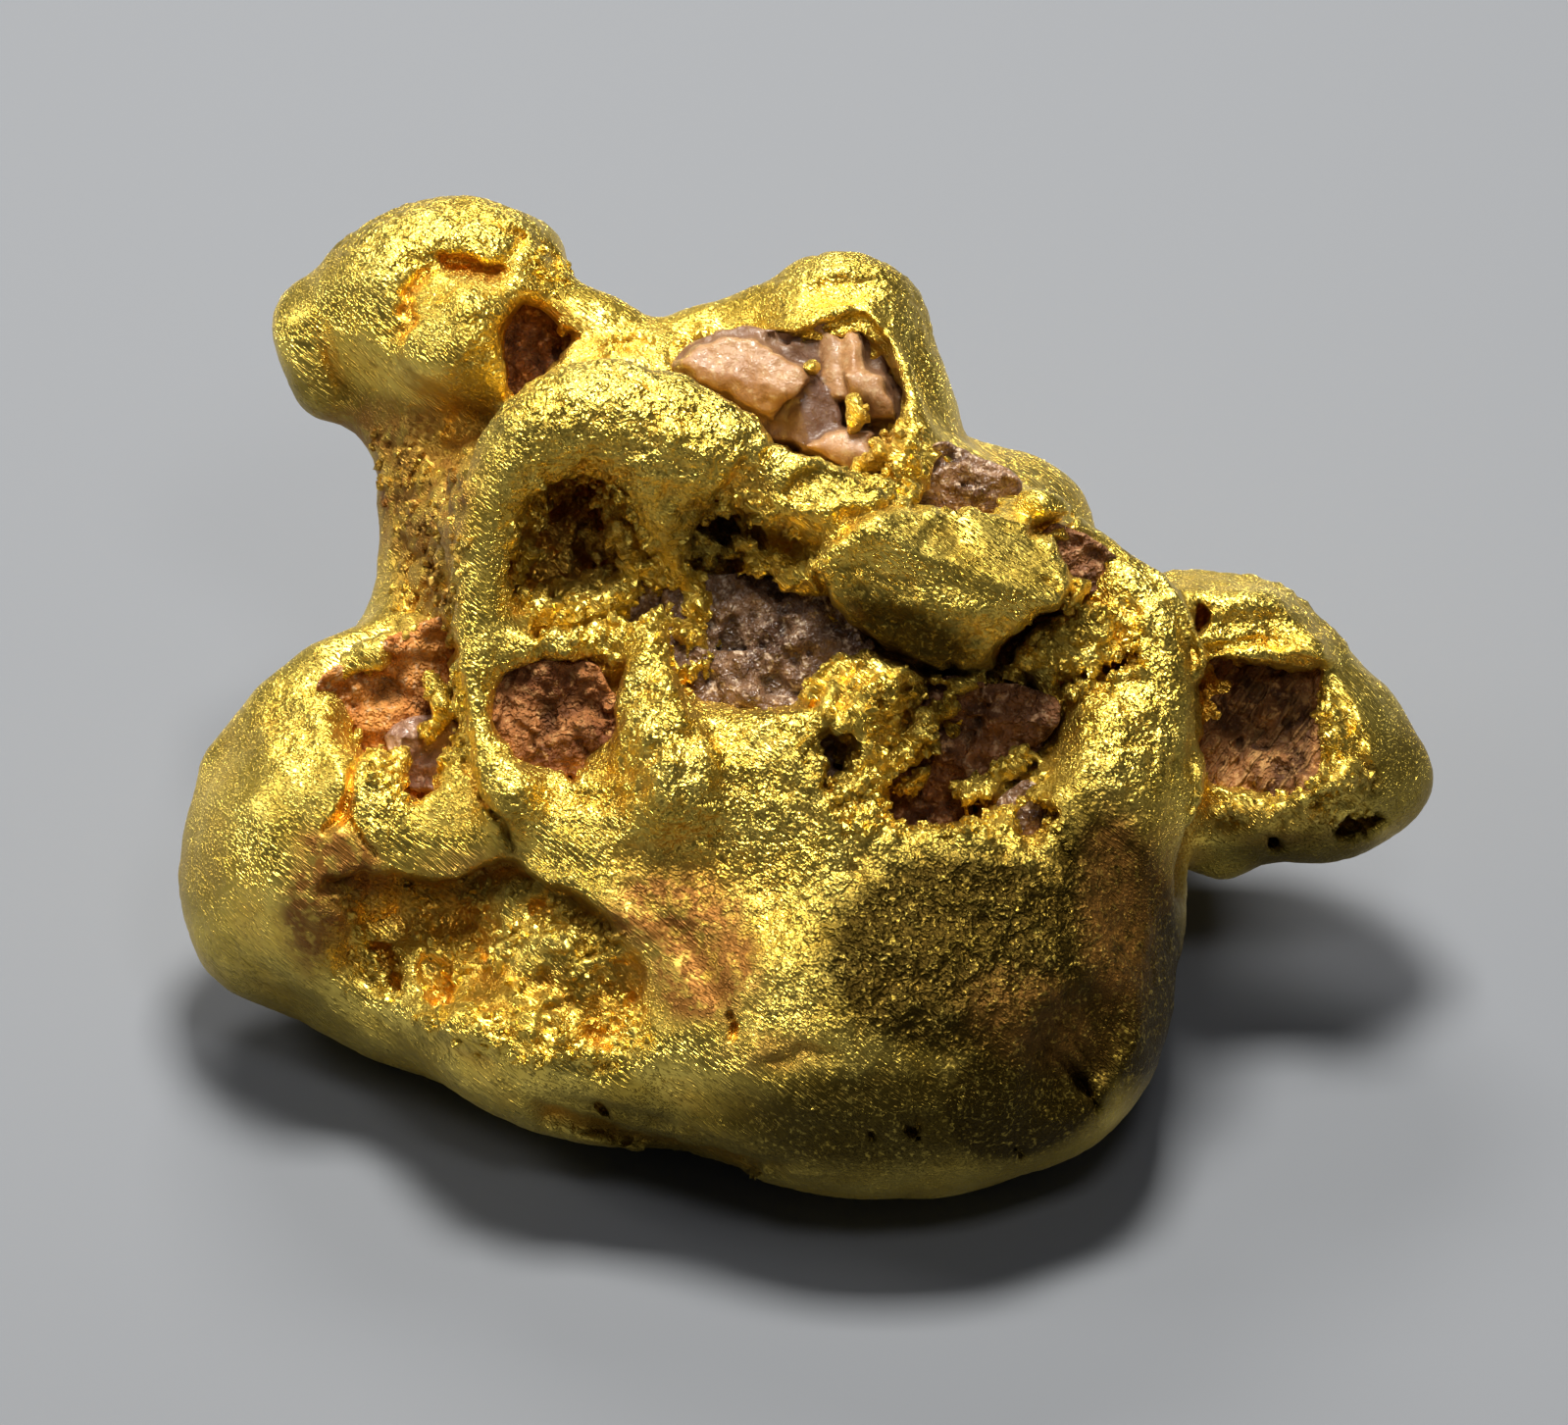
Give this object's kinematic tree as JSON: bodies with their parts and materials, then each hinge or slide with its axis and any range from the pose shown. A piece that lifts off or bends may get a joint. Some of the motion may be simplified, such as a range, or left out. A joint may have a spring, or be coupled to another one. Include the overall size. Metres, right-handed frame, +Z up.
{
  "type": "gold nugget",
  "caption": "Natural gold nugget with a pitted, looped face, knobs and grains of quartz and ironstone caught in its pits.",
  "frame": {"origin": "middle of the nugget's box, on the surface that it rests on", "axes": "+X along its length to the right of the pitted face, +Y to the back, +Z up; the pitted face looks along -Y and up"},
  "size_m": [0.026, 0.02, 0.0147],
  "materials": {
    "gold": "satin",
    "quartz_pale": "glossy",
    "quartz_dark": "glossy",
    "ironstone": "matte"
  },
  "bodies": {
    "root": {"gold": "gold", "quartz_top": "quartz_pale", "quartz_back": "quartz_dark", "quartz_middle": "quartz_dark", "ironstone_left": "ironstone", "ironstone_long_pit": "ironstone", "ironstone_right_knob": "ironstone", "ironstone_square": "ironstone", "ironstone_upper_knob": "ironstone"}
  },
  "joints": []
}
